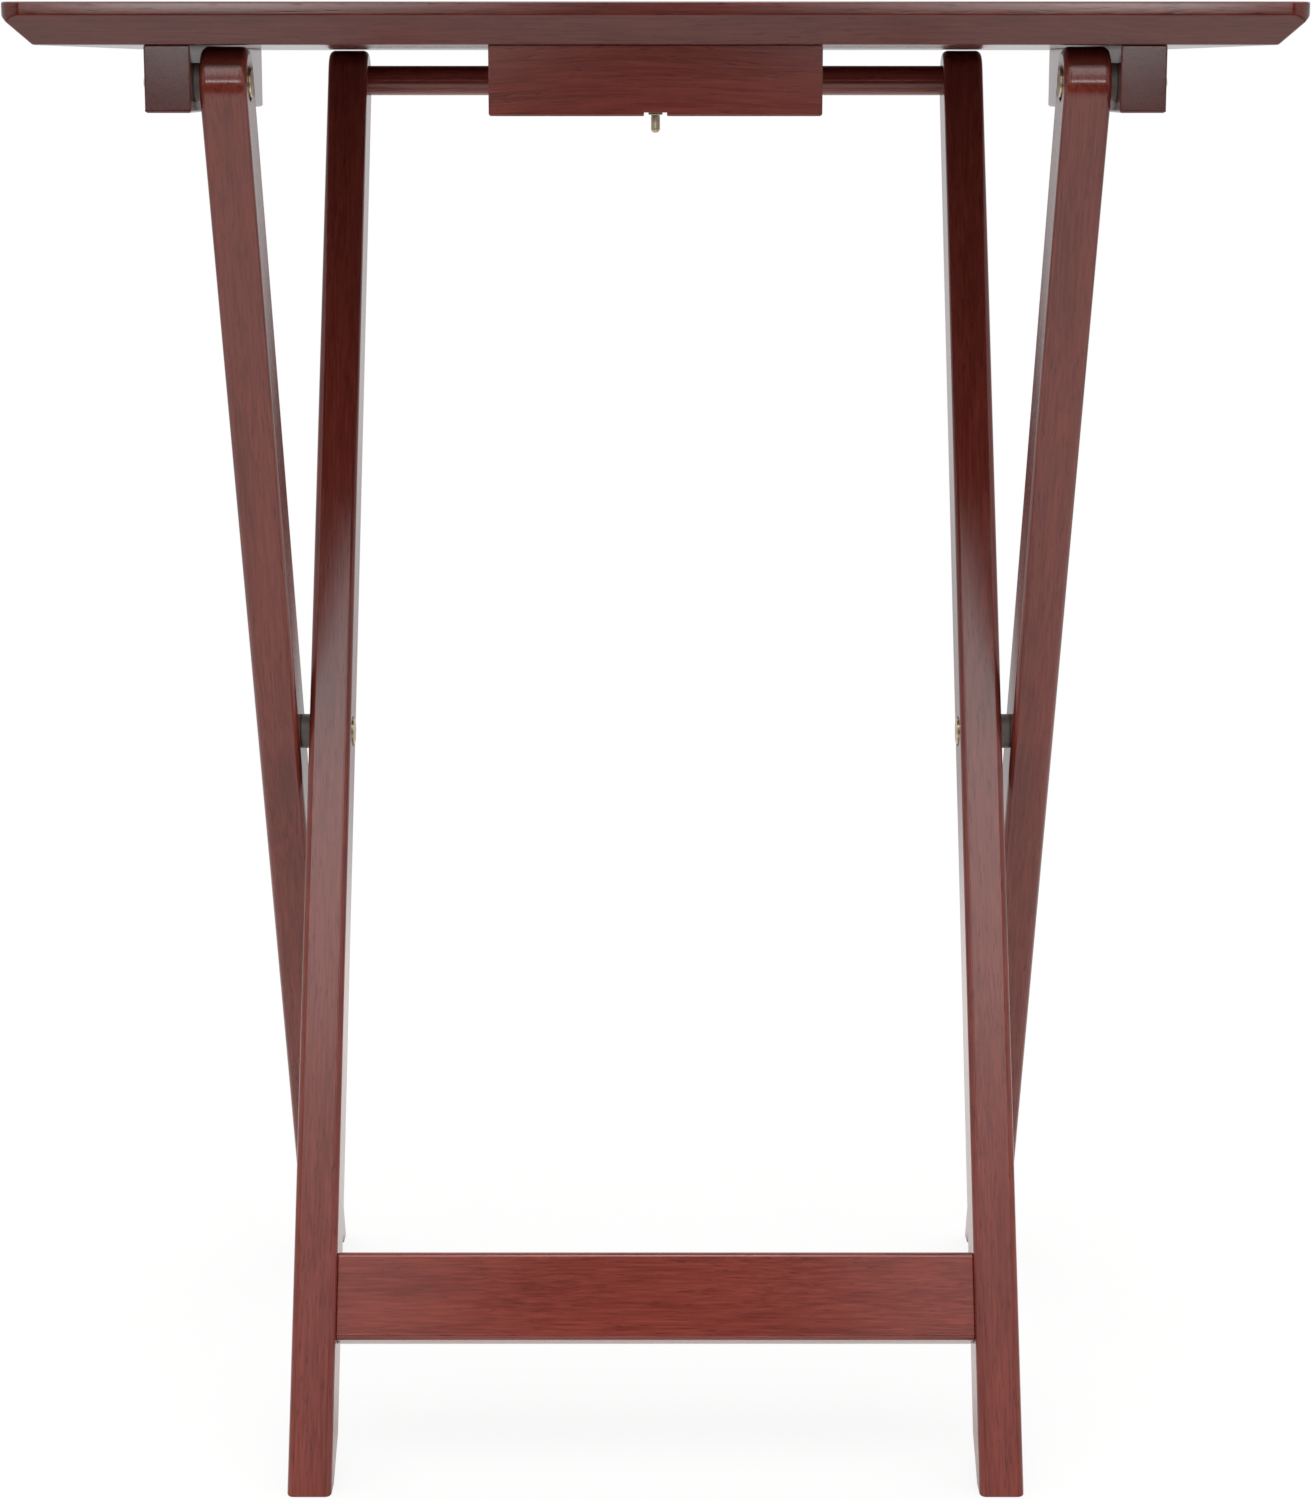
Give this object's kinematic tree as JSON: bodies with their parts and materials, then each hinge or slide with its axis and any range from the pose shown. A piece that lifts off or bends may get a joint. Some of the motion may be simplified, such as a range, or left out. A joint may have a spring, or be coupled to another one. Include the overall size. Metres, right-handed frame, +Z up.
{
  "type": "folding tray table",
  "caption": "Wooden folding tray table: rectangular bevelled top on crossed scissor legs that close under it, with a dowel that hooks into a catch block.",
  "frame": {"origin": "on the floor, under the middle of the tray top", "axes": "+X to the right as seen from the front, +Y from the front edge to the back edge, +Z up"},
  "size_m": [0.5424, 0.4, 0.66],
  "materials": {
    "stained_wood": "reddish-brown stain under satin lacquer",
    "raw_beech": "unfinished turned dowel",
    "brass": "brass plated, slightly dulled",
    "spacer_nylon": "moulded grey nylon",
    "screw_steel": "dark zinc plated"
  },
  "bodies": {
    "outer_frame": {"left_outer_leg": "stained_wood", "right_outer_leg": "stained_wood", "left_pivot_bolt": "brass", "right_pivot_bolt": "brass", "left_pivot_nut": "brass", "right_pivot_nut": "brass", "left_pivot_spacer": "spacer_nylon", "right_pivot_spacer": "spacer_nylon"},
    "inner_frame": {"left_inner_leg": "stained_wood", "right_inner_leg": "stained_wood", "top_dowel": "stained_wood", "stretcher": "stained_wood", "stretcher_pins": "raw_beech"},
    "tray": {"tray_top": "stained_wood", "left_cleat": "stained_wood", "right_cleat": "stained_wood", "front_block": "stained_wood", "catch_block": "stained_wood", "pin_bush": "brass", "cleat_screws": "screw_steel", "block_screws": "screw_steel", "left_hinge_bolt": "brass", "right_hinge_bolt": "brass", "left_hinge_nut": "brass", "right_hinge_nut": "brass", "left_hinge_spacer": "spacer_nylon", "right_hinge_spacer": "spacer_nylon"},
    "lock_pin": {"lock_pin": "brass"}
  },
  "joints": [
    {"name": "scissor_fold", "type": "hinge", "parent": "outer_frame", "child": "inner_frame", "pos_m": [0, -0.012, 0.318], "axis": [1, 0, 0], "range_deg": [0, 53.9]},
    {"name": "top_tilt", "type": "hinge", "parent": "outer_frame", "child": "tray", "pos_m": [0, -0.17, 0.627], "axis": [1, 0, 0], "range_deg": [0, 26.95]},
    {"name": "lock_pin_slide", "type": "slide", "parent": "tray", "child": "lock_pin", "axis": [0, 0, 1], "range_m": [0, 0.005]}
  ],
  "couplings": [
    {"joint": "top_tilt", "follows": "scissor_fold", "ratio": 0.5}
  ]
}
